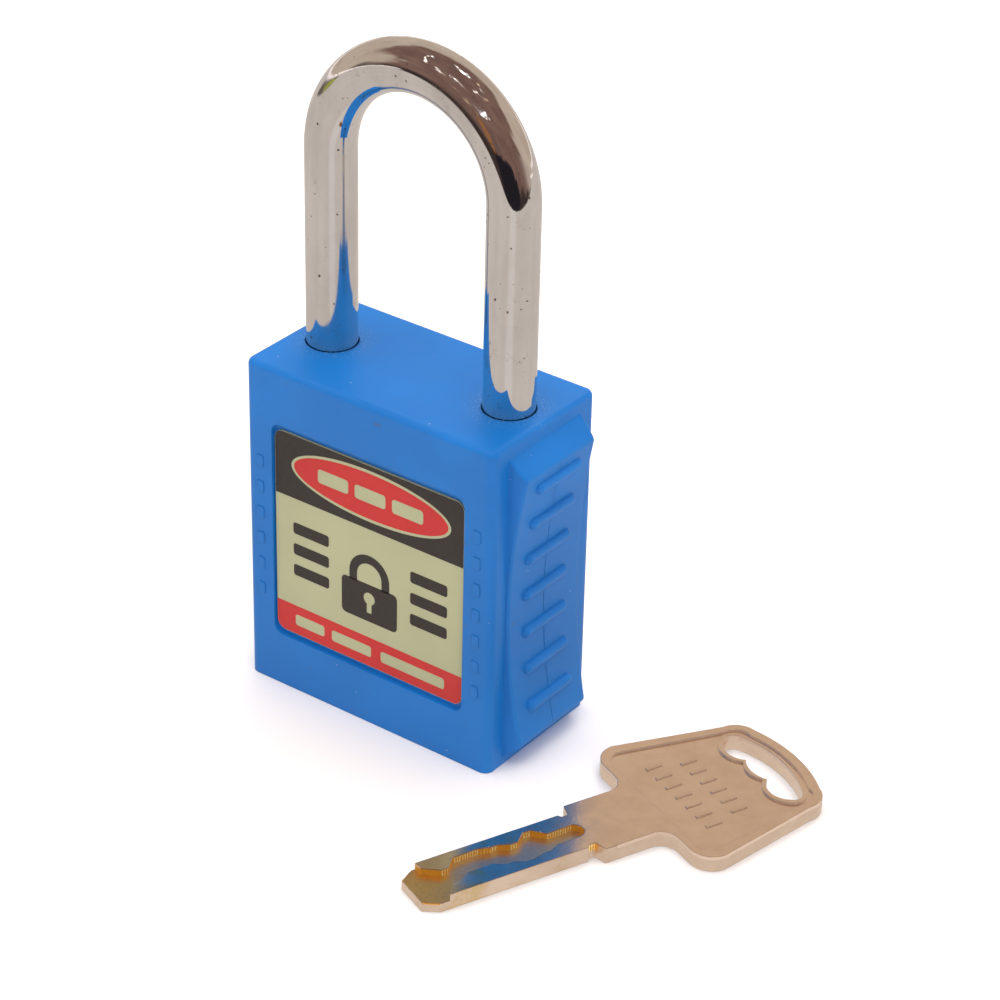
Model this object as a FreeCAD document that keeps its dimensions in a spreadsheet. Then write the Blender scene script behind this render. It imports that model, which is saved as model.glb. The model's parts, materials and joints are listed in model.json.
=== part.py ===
import FreeCAD, Part
import math
import os
import re

import Sketcher
from FreeCAD import Vector

# Safety padlock: a moulded nylon shell over a filled-nylon core, a chromed steel shackle, a bolt
# worked by a cam on a track-wafer cylinder, and its flat key lying beside it.
# Millimetres. +Z up, +X to the toe of the shackle, -Y to the front label. The origin is the centre
# of the base. The key lies on the surface that the padlock stands on.

# Driving dimensions: alias, value, what it is.
SIZES = [
    ("body_width", 37.6, "nylon body, side to side"),
    ("body_depth", 20.3, "nylon body, front to back"),
    ("body_height", 45.0, "nylon body, base to top"),
    ("body_edge", 1.2, "radius of the upright edges"),
    ("top_edge", 0.8, "radius round the top face"),
    ("rod_radius", 3.2, "shackle rod, 6.4 mm stock"),
    ("leg_x", 13.4, "leg axes, each side of the middle"),
    ("bow_z", 71.0, "height where the legs become the bow"),
    ("leg_hole_radius", 3.32, "holes in the top of the nylon body"),
    ("toe_end", 34.5, "bottom of the toe leg"),
    ("heel_end", 15.0, "bottom of the heel leg"),
    ("recess_half_width", 14.7, "label recess"),
    ("recess_low", 7.4, "label recess, lower edge"),
    ("recess_high", 37.5, "label recess, upper edge"),
    ("recess_depth", 0.6, "label recess"),
    ("recess_corner", 1.3, "corner radius of recess and label"),
    ("label_half_width", 14.45, "label"),
    ("label_low", 8.1, "label, lower edge"),
    ("label_high", 36.7, "label, upper edge"),
    ("label_thick", 0.25, "label"),
    ("grip_half_depth", 7.2, "raised finger grip on each side, at its foot"),
    ("grip_draft", 0.6, "how far the flanks of the grip lean in at its crests"),
    ("grip_round", 0.3, "radius along the flanks of the grip"),
    ("grip_low", 1.2, "foot of the grip"),
    ("grip_high", 43.0, "head of the grip"),
    ("grip_crest_low", 3.3, "lower crest of the grip"),
    ("grip_crest_high", 40.6, "upper crest of the grip"),
    ("grip_crest", 2.45, "rise of the crests"),
    ("grip_waist", 0.4, "rise at the waist of the hollow face"),
    ("grip_root", 0.5, "foot of the grip inside the body's side"),
    ("crest_round", 0.8, "radius over a crest"),
    ("crest_fall", 0.3, "fall of that rounding towards the grip's sloped end"),
    ("crest_outer", 0.28, "reach of that rounding towards the sloped end"),
    ("crest_inner", 0.45, "reach of that rounding into the hollow face"),
    ("rib_first", 7.6, "lowest cross rib on a grip"),
    ("rib_pitch", 5.13, "cross rib spacing"),
    ("rib_half_length", 4.4, "cross rib"),
    ("rib_radius", 0.78, "cross rib section"),
    ("rib_rise", 0.7, "cross rib above the grip face"),
    ("seam_half_width", 0.05, "mould seam down the middle of a grip"),
    ("seam_depth", 0.06, "mould seam"),
    ("dash_x", 16.6, "moulded dashes beside the label, each side of the middle"),
    ("dash_half_width", 0.55, "moulded dash"),
    ("dash_height", 1.7, "moulded dash"),
    ("dash_corner", 0.3, "moulded dash"),
    ("dash_rise", 0.1, "moulded dash"),
    ("cavity_half_width", 17.3, "hollow of the nylon body"),
    ("cavity_half_depth", 8.3, "hollow of the nylon body"),
    ("cavity_top", 42.0, "roof of the hollow"),
    ("fit_gap", 0.1, "loose fit between fixed parts"),
    ("running_gap", 0.05, "radial gap of turning and sliding parts"),
    ("stack_gap", 0.05, "gap between stacked parts"),
    ("pin_fit", 0.01, "radial gap of the two pins"),
    ("seat_fit", 0.02, "fit of clip and cam on the plug"),
    ("cover_thick", 3.0, "base cover"),
    ("tongue_low", 0.9, "tongue of the base cover"),
    ("tongue_thick", 1.2, "tongue of the base cover"),
    ("tongue_half_width", 5.0, "tongue of the base cover"),
    ("tongue_reach", 0.7, "tongue past the hollow's wall"),
    ("key_hole_radius", 5.2, "opening for the key in the base cover"),
    ("pin_radius", 1.0, "cover pin"),
    ("cover_pin_z", 10.5, "cover pin, hidden behind the labels"),
    ("post_half_width", 2.8, "post of the base cover"),
    ("post_top", 13.5, "post of the base cover"),
    ("core_top", 41.0, "core block"),
    ("housing_radius", 7.9, "cylinder housing"),
    ("housing_top", 34.9, "cylinder housing"),
    ("groove_mouth_half", 1.2, "sidebar groove of the housing, half width inside the bore"),
    ("groove_inside", 0.6, "how far inside the bore it has that width"),
    ("groove_floor_half", 0.6, "sidebar groove, half width of its floor"),
    ("groove_depth", 0.9, "sidebar groove, depth in the bore's wall"),
    ("groove_top", 28.0, "sidebar groove"),
    ("cam_room_radius", 6.95, "room for clip and cam above the housing"),
    ("channel_floor", 38.45, "bolt channel"),
    ("plate_thick", 0.9, "plate that closes the bolt channel"),
    ("plug_radius", 5.9, "plug"),
    ("plug_face", 1.2, "plug face above the base"),
    ("flange_radius", 6.9, "flange at the plug's face"),
    ("flange_top", 3.0, "flange at the plug's face"),
    ("plug_neck_radius", 5.2, "groove for the retaining clip"),
    ("tang_half_length", 3.2, "tang that drives the cam"),
    ("tang_half_width", 1.3, "tang that drives the cam"),
    ("tang_top", 37.6, "tang that drives the cam"),
    ("clip_thick", 0.8, "plug retaining clip"),
    ("clip_room", 0.3, "gap round the clip"),
    ("clip_mouth_half", 2.0, "opening of the clip"),
    ("cam_radius", 6.2, "cam disc"),
    ("cam_low", 36.1, "cam disc"),
    ("cam_high", 37.95, "cam disc"),
    ("crank", 3.3, "cam pin off the cylinder axis"),
    ("crank_start", 40.0, "cam pin angle from +X when locked, degrees"),
    ("cam_pin_radius", 1.2, "cam pin"),
    ("cam_pin_root", 0.2, "foot of the cam pin inside the disc"),
    ("bolt_low", 38.55, "locking bolt"),
    ("bolt_high", 40.95, "locking bolt"),
    ("bolt_tip", 11.4, "locking bolt, nose when locked"),
    ("bolt_nose_half", 3.0, "locking bolt, half width of the nose"),
    ("bolt_yoke_half", 5.9, "locking bolt, half width of the yoke"),
    ("bolt_shoulder", 6.0, "locking bolt, from yoke to nose"),
    ("bolt_back", -1.4, "locking bolt, back of the yoke"),
    ("bolt_bevel", 0.6, "locking bolt, corners of the nose"),
    ("bolt_room", 0.3, "room behind the drawn bolt"),
    ("bolt_travel", 5.06, "bolt stroke over the key's turn"),
    ("yoke_inner", 0.7, "yoke slot, end near the cylinder axis"),
    ("yoke_slack", 0.22, "side gap of the cam pin in the yoke"),
    ("leg_bevel", 0.6, "ends of the legs"),
    ("toe_room", 0.5, "room under the toe leg"),
    ("notch_depth", 1.35, "notch in the toe leg"),
    ("notch_low", 35.7, "notch in the toe leg"),
    ("notch_high", 41.2, "notch in the toe leg"),
    ("heel_neck_radius", 2.0, "turned neck of the heel leg"),
    ("heel_neck_low", 16.9, "turned neck of the heel leg"),
    ("heel_neck_high", 30.4, "turned neck of the heel leg"),
    ("heel_pin_radius", 0.8, "pin that keeps the heel leg in"),
    ("heel_pin_x", -10.5, "pin that keeps the heel leg in"),
    ("heel_pin_z", 29.3, "pin that keeps the heel leg in"),
    ("spring_seat", 4.0, "floor of the heel bore"),
    ("spring_radius", 2.5, "shackle spring, mean radius"),
    ("spring_wire", 0.35, "shackle spring, wire radius"),
    ("keyway_half_width", 3.7, "keyway"),
    ("keyway_half_thick", 1.15, "keyway"),
    ("keyway_depth", 24.0, "keyway, from the plug face"),
    ("wafer_thick", 1.5, "wafer"),
    ("wafer_pitch", 2.4, "wafer"),
    ("wafer_first", 2.6, "first wafer's middle from the plug face"),
    ("wafer_half_width", 3.1, "wafer"),
    ("wafer_outer", 3.4, "wafer's outer edge from the plug axis"),
    ("finger_half_width", 0.5, "wafer's finger in the key's track"),
    ("finger_reach", 0.8, "wafer's finger past the keyway's wall"),
    ("wafer_spring_radius", 0.45, "wafer spring, mean radius"),
    ("wafer_spring_wire", 0.1, "wafer spring, wire radius"),
    ("wafer_spring_gap", 0.04, "gap at each end of a wafer spring"),
    ("slot_half_width", 4.2, "wafer slot in the plug"),
    ("sidebar_half_width", 0.8, "sidebar"),
    ("sidebar_low", 2.4, "sidebar's foot above the plug face"),
    ("sidebar_overrun", 0.6, "sidebar past the last wafer's middle"),
    ("sidebar_end_gap", 0.2, "gap at each end of the sidebar"),
    ("sidebar_bevel", 0.5, "sidebar's nose"),
    ("sidebar_nose_half", 0.3, "sidebar's nose"),
    ("sidebar_inner", 2.5, "sidebar's inner edge from the plug axis"),
    ("sidebar_outer", 5.75, "sidebar's nose from the plug axis"),
    ("key_thick", 2.1, "key"),
    ("key_half_width", 3.55, "key blade"),
    ("key_reach", 21.9, "key blade, shoulder to tip"),
    ("key_floor", 1.2, "floor of the key's track"),
    ("key_relief", 0.25, "sunk panel inside the rim of the key's head"),
    ("track_start", 0.3, "track's round end past the shoulder"),
    ("track_half_width", 1.2, "track at its round end"),
    ("track_flat", 0.5, "half length of the track's flat at a wafer's station"),
    ("track_mouth", 2.3, "where the track opens across the tip"),
    ("mark_pitch", 2.2, "raised marks on the key's head"),
    ("mark_half_length", 1.1, "raised mark"),
    ("mark_half_width", 0.2, "raised mark"),
    ("mark_rise", 0.12, "raised mark"),
    ("key_x", 35.26, "key shoulder on the surface"),
    ("key_y", -14.96, "key shoulder on the surface"),
    ("key_angle", 67.0, "key axis from +X, degrees"),
]

RIB_COUNT = 7
SHACKLE_SPRING_TURNS = 6
WAFER_SPRING_TURNS = 3

# Columns of moulded dashes: place, lowest and highest edge, number of dashes.
DASH_COLUMNS = (("-dash_x", 12.3, 32.3, 6), ("dash_x", 10.5, 34.0, 7))

# Rows of raised marks on the key's head: distance from the shoulder, number of marks.
MARK_ROWS = ((15.3, 7), (19.6, 6))

# The two walls of the key's track off the blade's middle, at each wafer's station, shoulder first.
KEY_CUTS = [(1.1, 1.35), (2.6, 2.0), (1.35, 2.4), (2.0, 1.7), (2.45, 0.9), (2.4, 0.9), (0.95, 1.8)]

doc = FreeCAD.newDocument("SafetyPadlock")
sheet = doc.addObject("Spreadsheet::Sheet", "Sizes")
parts = []


# ---------------------------------------------------------------- sizes and expressions

def fill_sheet():
    """One row per driving dimension: what it is, its value, and the alias on the value."""
    for row, (alias, size, note) in enumerate(SIZES, start=1):
        sheet.set(f"A{row}", note)
        sheet.set(f"B{row}", str(size))
        sheet.setAlias(f"B{row}", alias)
    doc.recompute()


ALIASES = re.compile(r"\b(" + "|".join(alias for alias, _, _ in SIZES) + r")\b")


def formula(text):
    """An expression on the sheet, written with bare aliases."""
    return ALIASES.sub(r"Sizes.\1", str(text))


def number(text):
    """The value that such an expression has now."""
    return float(sheet.evalExpression(formula(text)))


def bind(feature, path, text):
    feature.setExpression(path, formula(text))


# ---------------------------------------------------------------- bodies and sketches

def new_body(label):
    body = doc.addObject("PartDesign::Body", label)
    body.Label = label
    parts.append(body)
    return body


def origin_feature(body, role):
    return next(item for item in body.Origin.OriginFeatures if item.Role == role)


def new_sketch(body, plane, offset="0", shift="0"):
    """Sketch on one of the body's own planes, moved along its normal and along its first axis."""
    sketch = body.newObject("Sketcher::SketchObject", f"{body.Name}_sketch")
    sketch.AttachmentSupport = [(origin_feature(body, plane), "")]
    sketch.MapMode = "FlatFace"
    bind(sketch, "AttachmentOffset.Base.z", offset)
    bind(sketch, "AttachmentOffset.Base.x", shift)
    return sketch


def drive(sketch, index, text):
    bind(sketch, f"Constraints[{index}]", text)


def fix_point(sketch, curve, end, across, up):
    """Tie one end of a curve to two expressions."""
    for kind, text in (("DistanceX", across), ("DistanceY", up)):
        constraint = Sketcher.Constraint(kind, -1, 1, curve, end, number(text))
        drive(sketch, sketch.addConstraint(constraint), text)


def add_circle(sketch, across, up, radius):
    centre = Vector(number(across), number(up), 0)
    curve = sketch.addGeometry(Part.Circle(centre, Vector(0, 0, 1), number(radius)))
    drive(sketch, sketch.addConstraint(Sketcher.Constraint("Radius", curve, number(radius))), radius)
    fix_point(sketch, curve, 3, across, up)


def add_edge(sketch, start, finish, radius):
    """A line, or an arc whose radius is positive where it bulges to the right of its travel."""
    if radius is None:
        return sketch.addGeometry(Part.LineSegment(start, finish)), 1, 2
    size = number(radius)
    chord = finish - start
    sag = abs(size) - math.sqrt(max(size * size - chord.Length ** 2 / 4, 0))
    aside = Vector(chord.y, -chord.x, 0).normalize() * math.copysign(sag, size)
    curve = sketch.addGeometry(Part.Arc(start, (start + finish) * 0.5 + aside, finish))
    drive(sketch, sketch.addConstraint(Sketcher.Constraint("Radius", curve, abs(size))),
          f"abs({radius})")
    if sketch.getPoint(curve, 1).distanceToPoint(start) < 1e-6:
        return curve, 1, 2
    return curve, 2, 1


def add_outline(sketch, corners):
    """Closed outline through corners (across, up) or (across, up, radius of the arc that follows)."""
    places = [Vector(number(corner[0]), number(corner[1]), 0) for corner in corners]
    edges = []
    for index, corner in enumerate(corners):
        radius = corner[2] if len(corner) > 2 else None
        following = places[(index + 1) % len(places)]
        edges.append(add_edge(sketch, places[index], following, radius))
    for index, (curve, _, finish) in enumerate(edges):
        next_curve, next_start, _ = edges[(index + 1) % len(edges)]
        sketch.addConstraint(Sketcher.Constraint("Coincident", curve, finish, next_curve, next_start))
    for (curve, start, _), corner in zip(edges, corners):
        fix_point(sketch, curve, start, corner[0], corner[1])


def add_rectangle(sketch, left, low, right, high):
    add_outline(sketch, [(left, low), (right, low), (right, high), (left, high)])


def add_rounded_rectangle(sketch, left, low, right, high, corner):
    add_outline(sketch, [
        (f"({left}) + ({corner})", low), (f"({right}) - ({corner})", low, corner),
        (right, f"({low}) + ({corner})"), (right, f"({high}) - ({corner})", corner),
        (f"({right}) - ({corner})", high), (f"({left}) + ({corner})", high, corner),
        (left, f"({high}) - ({corner})"), (left, f"({low}) + ({corner})", corner)])


# ---------------------------------------------------------------- features

def pad(body, sketch, length, both_ways=False, backward=False):
    feature = body.newObject("PartDesign::Pad", f"{body.Name}_pad")
    feature.Profile = sketch
    feature.SideType = "Symmetric" if both_ways else "One side"
    feature.Reversed = backward
    bind(feature, "Length", length)
    doc.recompute()
    return feature


def pocket(body, sketch, length, both_ways=False, forward=False):
    """Cut against the sketch's normal, or along it when forward."""
    before = body.Shape.Volume
    feature = body.newObject("PartDesign::Pocket", f"{body.Name}_pocket")
    feature.Profile = sketch
    feature.SideType = "Symmetric" if both_ways else "One side"
    feature.Reversed = forward
    bind(feature, "Length", length)
    doc.recompute()
    if body.Shape.Volume > before - 1e-3:
        raise ValueError(f"{feature.Name} cuts nothing")
    return feature


def revolve(body, sketch, angle, backward=False, kind="Revolution"):
    """Turn a profile about the sketch's second axis, to add or, as a Groove, to cut."""
    feature = body.newObject(f"PartDesign::{kind}", f"{body.Name}_turned")
    feature.Profile = sketch
    feature.ReferenceAxis = (sketch, ["V_Axis"])
    feature.Reversed = backward
    bind(feature, "Angle", angle)
    doc.recompute()
    return feature


def edges_where(body, test):
    """Names of the body's edges that pass a test."""
    return [f"Edge{index}" for index, edge in enumerate(body.Shape.Edges, start=1) if test(edge)]


def dress(body, kind, size, test):
    """Fillet or Chamfer on the edges that pass a test."""
    names = edges_where(body, test)
    if not names:
        raise ValueError(f"{body.Label}: no edge to dress")
    base = body.Tip
    feature = body.newObject(f"PartDesign::{kind}", f"{body.Name}_{kind.lower()}")
    feature.Base = (base, names)
    bind(feature, "Radius" if kind == "Fillet" else "Size", size)
    doc.recompute()
    body.Tip = feature
    return feature


def pattern_up(body, feature, spacing, count):
    """Repeat a feature along +Z."""
    pattern = body.newObject("PartDesign::LinearPattern", f"{body.Name}_pattern")
    pattern.Originals = [feature]
    pattern.Direction = (origin_feature(body, "Z_Axis"), [""])
    pattern.Occurrences = count
    bind(pattern, "Length", f"({spacing}) * {count - 1}")
    body.Tip = pattern
    doc.recompute()
    return pattern


def upright(edge):
    ends = edge.Vertexes
    return len(ends) == 2 and (ends[0].Point - ends[1].Point).cross(Vector(0, 0, 1)).Length < 1e-6


def level_at(edge, height):
    box = edge.BoundBox
    return abs(box.ZMin - height) < 1e-6 and abs(box.ZMax - height) < 1e-6


# ---------------------------------------------------------------- nylon body

# Sag of the hollow grip face below its crests, and the radius of its arc.
GRIP_SAG = "(grip_crest - grip_waist)"
GRIP_ARC = f"(((grip_crest_high - grip_crest_low)^2 / 4 + {GRIP_SAG}^2) / (2 * {GRIP_SAG}))"


def grip_rise(height):
    """Rise of the hollow grip face above the body's side, as an expression in the height."""
    middle = "(grip_crest_low + grip_crest_high) / 2"
    return f"grip_waist + {GRIP_ARC} - sqrt(({GRIP_ARC})^2 - (({height}) - {middle})^2)"


def add_grips(body):
    """Raised pads on both sides: sloped ends and a long hollow face between two round crests."""
    side = "body_width / 2"
    crest = f"{side} + grip_crest"
    features = [add_grip_pad(body, side, crest), cut_grip_flanks(body, side, crest), cut_seam(body, crest)]
    for index in range(RIB_COUNT):
        features.append(add_rib(body, f"rib_first + {index} * rib_pitch"))
    mirrored = body.newObject("PartDesign::Mirrored", "grips_mirrored")
    mirrored.Originals = features
    mirrored.MirrorPlane = (origin_feature(body, "YZ_Plane"), [""])
    body.Tip = mirrored
    doc.recompute()
    dress(body, "Fillet", "grip_round", on_grip_rim)


def add_grip_pad(body, side, crest):
    sketch = new_sketch(body, "XZ_Plane")
    root = f"{side} - grip_root"
    low = "grip_crest_low + crest_inner"
    high = "grip_crest_high - crest_inner"
    add_outline(sketch, [
        (root, "grip_low"), (side, "grip_low"),
        (f"{crest} - crest_fall", "grip_crest_low - crest_outer", "crest_round"),
        (f"{side} + {grip_rise(low)}", low, f"-{GRIP_ARC}"),
        (f"{side} + {grip_rise(high)}", high, "crest_round"),
        (f"{crest} - crest_fall", "grip_crest_high + crest_outer"), (side, "grip_high"), (root, "grip_high")])
    return pad(body, sketch, "grip_half_depth * 2", both_ways=True)


def cut_grip_flanks(body, side, crest):
    """Lean both flanks of the pad in towards its crests."""
    sketch = new_sketch(body, "XY_Plane")
    past = f"{crest} + 0.5"
    for sign in ("", "-"):
        add_outline(sketch, [
            (side, f"{sign}grip_half_depth"), (past, f"{sign}(grip_half_depth - grip_draft)"),
            (past, f"{sign}(grip_half_depth + 1)"), (side, f"{sign}(grip_half_depth + 1)")])
    return pocket(body, sketch, "body_height", forward=True)


def cut_seam(body, crest):
    """Fine mould seam down the middle of the hollow face, which the ribs cross."""
    sketch = new_sketch(body, "XZ_Plane")
    floor = f"{crest} - seam_depth"
    past = f"{crest} + 1"
    add_outline(sketch, [
        (floor, "grip_crest_low", f"-{GRIP_ARC}"), (floor, "grip_crest_high"),
        (past, "grip_crest_high"), (past, "grip_crest_low")])
    return pocket(body, sketch, "seam_half_width * 2", both_ways=True)


def on_grip_rim(edge):
    """Long outer edges of a grip, down both flanks."""
    box = edge.BoundBox
    proud = min(abs(box.XMin), abs(box.XMax)) > number("body_width / 2 + grip_waist") - 0.1
    outer = min(abs(box.YMin), abs(box.YMax)) > number("grip_half_depth - grip_draft") - 0.3
    long_flank = box.ZLength > number("grip_crest_high - grip_crest_low") - 2
    return proud and outer and long_flank


def add_rib(body, height):
    """Cross rib on a grip: a rod with round ends, half sunk in the hollow face."""
    axis = f"body_width / 2 + {grip_rise(height)} + rib_rise - rib_radius"
    rib = new_sketch(body, "XY_Plane", offset=height, shift=axis)
    add_outline(rib, [
        ("0", "-rib_half_length", "rib_radius"), ("rib_radius", "rib_radius - rib_half_length"),
        ("rib_radius", "rib_half_length - rib_radius", "rib_radius"), ("0", "rib_half_length")])
    return revolve(body, rib, "360")


def add_dashes(body, column, lowest, highest, count):
    """A column of small raised dashes on the front, beside the label."""
    sketch = new_sketch(body, "XZ_Plane", offset="body_depth / 2 - dash_rise")
    add_rounded_rectangle(sketch, f"{column} - dash_half_width", lowest, f"{column} + dash_half_width",
                          f"{lowest} + dash_height", "dash_corner")
    dash = pad(body, sketch, "dash_rise * 2")
    pattern_up(body, dash, f"({highest} - dash_height - {lowest}) / {count - 1}", count)


def make_body_shell():
    body = new_body("body_shell")
    block = new_sketch(body, "XY_Plane")
    add_rectangle(block, "-body_width / 2", "-body_depth / 2", "body_width / 2", "body_depth / 2")
    pad(body, block, "body_height")
    dress(body, "Fillet", "body_edge", upright)
    dress(body, "Fillet", "top_edge", lambda edge: level_at(edge, number("body_height")))
    add_grips(body)

    for face in ("body_depth / 2 - recess_depth", "-(body_depth / 2 - recess_depth)"):
        recess = new_sketch(body, "XZ_Plane", offset=face)
        add_rounded_rectangle(recess, "-recess_half_width", "recess_low", "recess_half_width",
                              "recess_high", "recess_corner")
        pocket(body, recess, "recess_depth + 1", forward=not face.startswith("-"))

    hollow = new_sketch(body, "XY_Plane")
    add_rectangle(hollow, "-cavity_half_width", "-cavity_half_depth", "cavity_half_width",
                  "cavity_half_depth")
    pocket(body, hollow, "cavity_top", forward=True)
    tongue_slot = new_sketch(body, "XY_Plane", offset="tongue_low - fit_gap")
    half = "(tongue_half_width + fit_gap)"
    add_rectangle(tongue_slot, "-cavity_half_width - tongue_reach - fit_gap", f"-{half}",
                  "-cavity_half_width + fit_gap", half)
    pocket(body, tongue_slot, "tongue_thick + 2 * fit_gap", forward=True)

    holes = new_sketch(body, "XY_Plane", offset="body_height")
    add_circle(holes, "-leg_x", "0", "leg_hole_radius")
    add_circle(holes, "leg_x", "0", "leg_hole_radius")
    pocket(body, holes, "body_height - cavity_top + 0.5")
    pin_hole = new_sketch(body, "XZ_Plane")
    add_circle(pin_hole, "leg_x", "cover_pin_z", "pin_radius + pin_fit")
    pocket(body, pin_hole, "body_depth", both_ways=True)
    for column in DASH_COLUMNS:
        add_dashes(body, *column)


def make_label(label, side):
    """Printed plate that fills a recess; side is 1 in front and -1 at the back."""
    body = new_body(label)
    floor = "body_depth / 2 - recess_depth"
    sketch = new_sketch(body, "XZ_Plane", offset=f"{side} * ({floor})")
    add_rounded_rectangle(sketch, "-label_half_width", "label_low", "label_half_width", "label_high",
                          "recess_corner")
    pad(body, sketch, "label_thick", backward=side < 0)


def make_base_cover():
    """Plate that closes the body, with a tongue at the heel and a pinned post at the toe."""
    body = new_body("base_cover")
    plate = new_sketch(body, "XY_Plane")
    add_rectangle(plate, "-cavity_half_width + fit_gap", "-cavity_half_depth + fit_gap",
                  "cavity_half_width - fit_gap", "cavity_half_depth - fit_gap")
    pad(body, plate, "cover_thick")
    post = new_sketch(body, "XY_Plane", offset="cover_thick - 0.5")
    add_rectangle(post, "leg_x - post_half_width", "-cavity_half_depth + fit_gap",
                  "leg_x + post_half_width", "cavity_half_depth - fit_gap")
    pad(body, post, "post_top - cover_thick + 0.5")
    tongue = new_sketch(body, "XY_Plane", offset="tongue_low")
    add_rectangle(tongue, "-cavity_half_width - tongue_reach", "-tongue_half_width",
                  "-cavity_half_width + 1", "tongue_half_width")
    pad(body, tongue, "tongue_thick")
    key_hole = new_sketch(body, "XY_Plane")
    add_circle(key_hole, "0", "0", "key_hole_radius")
    pocket(body, key_hole, "cover_thick", forward=True)
    seat = new_sketch(body, "XY_Plane", offset="plug_face - running_gap")
    add_circle(seat, "0", "0", "flange_radius + running_gap")
    pocket(body, seat, "cover_thick", forward=True)
    pin_hole = new_sketch(body, "XZ_Plane")
    add_circle(pin_hole, "leg_x", "cover_pin_z", "pin_radius + pin_fit")
    pocket(body, pin_hole, "body_depth", both_ways=True)


def make_round_pin(label, across, height, radius, half_length):
    """Solid pin from front to back."""
    body = new_body(label)
    sketch = new_sketch(body, "XZ_Plane")
    add_circle(sketch, across, height, radius)
    pad(body, sketch, f"({half_length}) * 2", both_ways=True)
    dress(body, "Chamfer", "0.2", lambda edge: edge.Closed)


# ---------------------------------------------------------------- core

def make_core_block():
    body = new_body("core_block")
    wide = "cavity_half_width - fit_gap"
    deep = "cavity_half_depth - fit_gap"
    block = new_sketch(body, "XY_Plane", offset="cover_thick + stack_gap")
    add_rectangle(block, f"-({wide})", f"-({deep})", wide, deep)
    pad(body, block, "core_top - cover_thick - stack_gap")

    cylinder_bore = new_sketch(body, "XY_Plane")
    add_circle(cylinder_bore, "0", "0", "housing_radius + running_gap")
    pocket(body, cylinder_bore, "housing_top + running_gap", forward=True)
    cam_room = new_sketch(body, "XY_Plane")
    add_circle(cam_room, "0", "0", "cam_room_radius")
    pocket(body, cam_room, "channel_floor + fit_gap", forward=True)

    channel = new_sketch(body, "XY_Plane", offset="channel_floor")
    nose = "bolt_nose_half + running_gap"
    yoke = "bolt_yoke_half + running_gap"
    back = "bolt_back - bolt_travel - bolt_room"
    step = "bolt_shoulder + fit_gap"
    add_outline(channel, [
        (back, f"-({yoke})"), (step, f"-({yoke})"), (step, f"-({nose})"), ("leg_x", f"-({nose})"),
        ("leg_x", nose), (step, nose), (step, yoke), (back, yoke)])
    pocket(body, channel, "core_top", forward=True)

    heel_bore = new_sketch(body, "XY_Plane", offset="core_top")
    add_circle(heel_bore, "-leg_x", "0", "rod_radius + running_gap")
    pocket(body, heel_bore, "core_top - spring_seat")
    toe_bore = new_sketch(body, "XY_Plane", offset="core_top")
    add_circle(toe_bore, "leg_x", "0", "rod_radius + running_gap")
    pocket(body, toe_bore, "core_top - toe_end + toe_room")

    post_room = new_sketch(body, "XY_Plane")
    add_rectangle(post_room, "leg_x - post_half_width - fit_gap", "-body_depth / 2",
                  "leg_x + post_half_width + fit_gap", "body_depth / 2")
    pocket(body, post_room, "post_top + fit_gap", forward=True)
    heel_pin = new_sketch(body, "XZ_Plane")
    add_circle(heel_pin, "heel_pin_x", "heel_pin_z", "heel_pin_radius + pin_fit")
    pocket(body, heel_pin, "body_depth", both_ways=True)


def make_bolt_plate():
    """Steel plate on the core: roof of the bolt channel, drilled for both legs."""
    body = new_body("bolt_plate")
    plate = new_sketch(body, "XY_Plane", offset="core_top")
    add_rectangle(plate, "-cavity_half_width + fit_gap", "-cavity_half_depth + fit_gap",
                  "cavity_half_width - fit_gap", "cavity_half_depth - fit_gap")
    add_circle(plate, "-leg_x", "0", "rod_radius + fit_gap")
    add_circle(plate, "leg_x", "0", "rod_radius + fit_gap")
    pad(body, plate, "plate_thick")


# ---------------------------------------------------------------- cylinder

def make_cylinder_housing():
    body = new_body("cylinder_housing")
    tube = new_sketch(body, "XY_Plane", offset="cover_thick + stack_gap")
    add_circle(tube, "0", "0", "housing_radius")
    add_circle(tube, "0", "0", "plug_radius + running_gap")
    pad(body, tube, "housing_top - cover_thick - stack_gap")
    groove = new_sketch(body, "XY_Plane")
    mouth = "-plug_radius + groove_inside"
    floor = "-plug_radius - groove_depth"
    add_outline(groove, [
        ("-groove_mouth_half", mouth), ("-groove_floor_half", floor),
        ("groove_floor_half", floor), ("groove_mouth_half", mouth)])
    pocket(body, groove, "groove_top", forward=True)


# Foot of the plug to the far end of its row of wafers.
SIDEBAR_LENGTH = f"wafer_first + {len(KEY_CUTS) - 1} * wafer_pitch + sidebar_overrun"


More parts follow.
